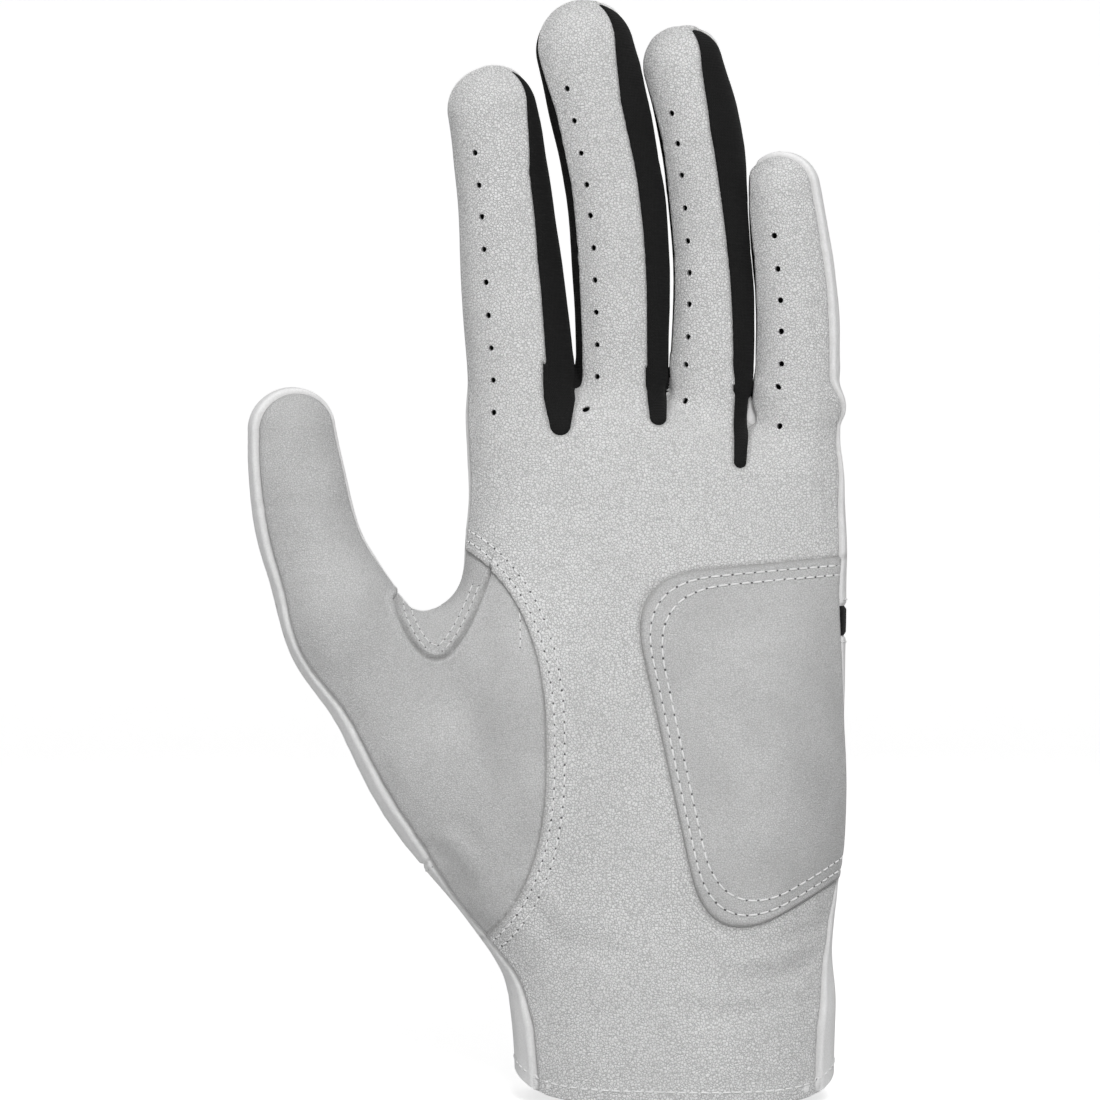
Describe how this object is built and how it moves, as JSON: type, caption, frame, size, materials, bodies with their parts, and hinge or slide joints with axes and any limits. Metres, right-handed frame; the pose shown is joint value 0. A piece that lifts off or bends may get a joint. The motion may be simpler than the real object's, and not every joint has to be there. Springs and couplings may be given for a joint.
{
  "type": "golf glove",
  "caption": "Left-hand golf glove shown filled out: leather palm and back, stretch side strips, heel patch, bound cuff and wrap-over closure tab; fingers crease and the tab opens.",
  "frame": {"origin": "middle of the wrist opening, at the hem", "axes": "+Z towards the fingertips, +X towards the little-finger side, -Y is the palm side"},
  "size_m": [0.1324, 0.0486, 0.2409],
  "materials": {
    "white_leather": "fine pebble grain, soft matt white",
    "grey_leather": "fine pebble grain, matt light grey",
    "tab_leather": "fine pebble grain, soft matt white",
    "stretch_fabric": "matt black knit",
    "binding_tape": "woven white tape",
    "lining_fabric": "white tricot lining",
    "elastic": "ribbed white elastic",
    "label_fabric": "plain woven label",
    "loop_pad": "white loop pile",
    "hook_pad": "white hook tape",
    "emblem_rubber": "plain black moulded pad"
  },
  "bodies": {
    "hand": {"palm_panel": "white_leather", "thenar_panel": "grey_leather", "thumb_back_root": "white_leather", "back_panel_upper": "white_leather", "knuckle_band": "stretch_fabric", "back_panel_lower": "white_leather", "web_index_middle": "stretch_fabric", "web_middle_ring": "stretch_fabric", "web_ring_little": "stretch_fabric", "slit_binding": "binding_tape", "cuff_binding": "binding_tape", "cuff_facing": "lining_fabric", "wrist_elastic": "elastic", "size_label": "label_fabric", "heel_patch": "grey_leather", "loop_patch": "loop_pad", "tab_anchor": "tab_leather"},
    "index_proximal": {"index_proximal_front": "white_leather", "index_proximal_back": "white_leather", "index_proximal_outer_strip": "stretch_fabric"},
    "index_distal": {"index_distal_front": "white_leather", "index_distal_back": "white_leather", "index_distal_outer_strip": "stretch_fabric"},
    "middle_proximal": {"middle_proximal_front": "white_leather", "middle_proximal_back": "white_leather", "middle_proximal_inner_strip": "stretch_fabric", "middle_proximal_outer_strip": "stretch_fabric"},
    "middle_distal": {"middle_distal_front": "white_leather", "middle_distal_back": "white_leather", "middle_distal_inner_strip": "stretch_fabric", "middle_distal_outer_strip": "stretch_fabric"},
    "ring_proximal": {"ring_proximal_front": "white_leather", "ring_proximal_back": "white_leather", "ring_proximal_inner_strip": "stretch_fabric", "ring_proximal_outer_strip": "stretch_fabric"},
    "ring_distal": {"ring_distal_front": "white_leather", "ring_distal_back": "white_leather", "ring_distal_inner_strip": "stretch_fabric", "ring_distal_outer_strip": "stretch_fabric"},
    "little_proximal": {"little_proximal_front": "white_leather", "little_proximal_back": "white_leather", "little_proximal_inner_strip": "stretch_fabric"},
    "little_distal": {"little_distal_front": "white_leather", "little_distal_back": "white_leather", "little_distal_inner_strip": "stretch_fabric"},
    "thumb_proximal": {"thumb_proximal_front": "white_leather", "thumb_proximal_back": "white_leather"},
    "thumb_distal": {"thumb_distal_front": "white_leather", "thumb_distal_back": "white_leather"},
    "tab": {"closure_tab": "tab_leather", "hook_patch": "hook_pad", "tab_emblem": "emblem_rubber"}
  },
  "joints": [
    {"name": "index_base_crease", "type": "hinge", "parent": "hand", "child": "index_proximal", "pos_m": [-0.0338, -0.01033, 0.161], "axis": [1, 0, 0], "range_deg": [0, 75]},
    {"name": "index_middle_crease", "type": "hinge", "parent": "index_proximal", "child": "index_distal", "pos_m": [-0.0362, -0.01139, 0.184], "axis": [1, 0, 0], "range_deg": [0, 85]},
    {"name": "middle_base_crease", "type": "hinge", "parent": "hand", "child": "middle_proximal", "pos_m": [-0.0114, -0.0091, 0.161], "axis": [1, 0, 0], "range_deg": [0, 75]},
    {"name": "middle_middle_crease", "type": "hinge", "parent": "middle_proximal", "child": "middle_distal", "pos_m": [-0.012, -0.01113, 0.186], "axis": [1, 0, 0], "range_deg": [0, 85]},
    {"name": "ring_base_crease", "type": "hinge", "parent": "hand", "child": "ring_proximal", "pos_m": [0.0083, -0.00813, 0.161], "axis": [1, 0, 0], "range_deg": [0, 75]},
    {"name": "ring_middle_crease", "type": "hinge", "parent": "ring_proximal", "child": "ring_distal", "pos_m": [0.0081, -0.00937, 0.185], "axis": [1, 0, 0], "range_deg": [0, 85]},
    {"name": "little_base_crease", "type": "hinge", "parent": "hand", "child": "little_proximal", "pos_m": [0.0278, -0.00875, 0.1525], "axis": [1, 0, 0], "range_deg": [0, 75]},
    {"name": "little_middle_crease", "type": "hinge", "parent": "little_proximal", "child": "little_distal", "pos_m": [0.0275, -0.00981, 0.1725], "axis": [1, 0, 0], "range_deg": [0, 85]},
    {"name": "thumb_base_crease", "type": "hinge", "parent": "hand", "child": "thumb_proximal", "pos_m": [-0.075, -0.01192, 0.107], "axis": [0.9781, 0, 0.2079], "range_deg": [0, 40]},
    {"name": "thumb_middle_crease", "type": "hinge", "parent": "thumb_proximal", "child": "thumb_distal", "pos_m": [-0.0818, -0.01148, 0.129], "axis": [0.9781, 0, 0.2079], "range_deg": [0, 60]},
    {"name": "tab_fold", "type": "hinge", "parent": "hand", "child": "tab", "pos_m": [-0.018, 0.0237, 0.027], "axis": [0, 0, 1], "range_deg": [0, 150]}
  ]
}
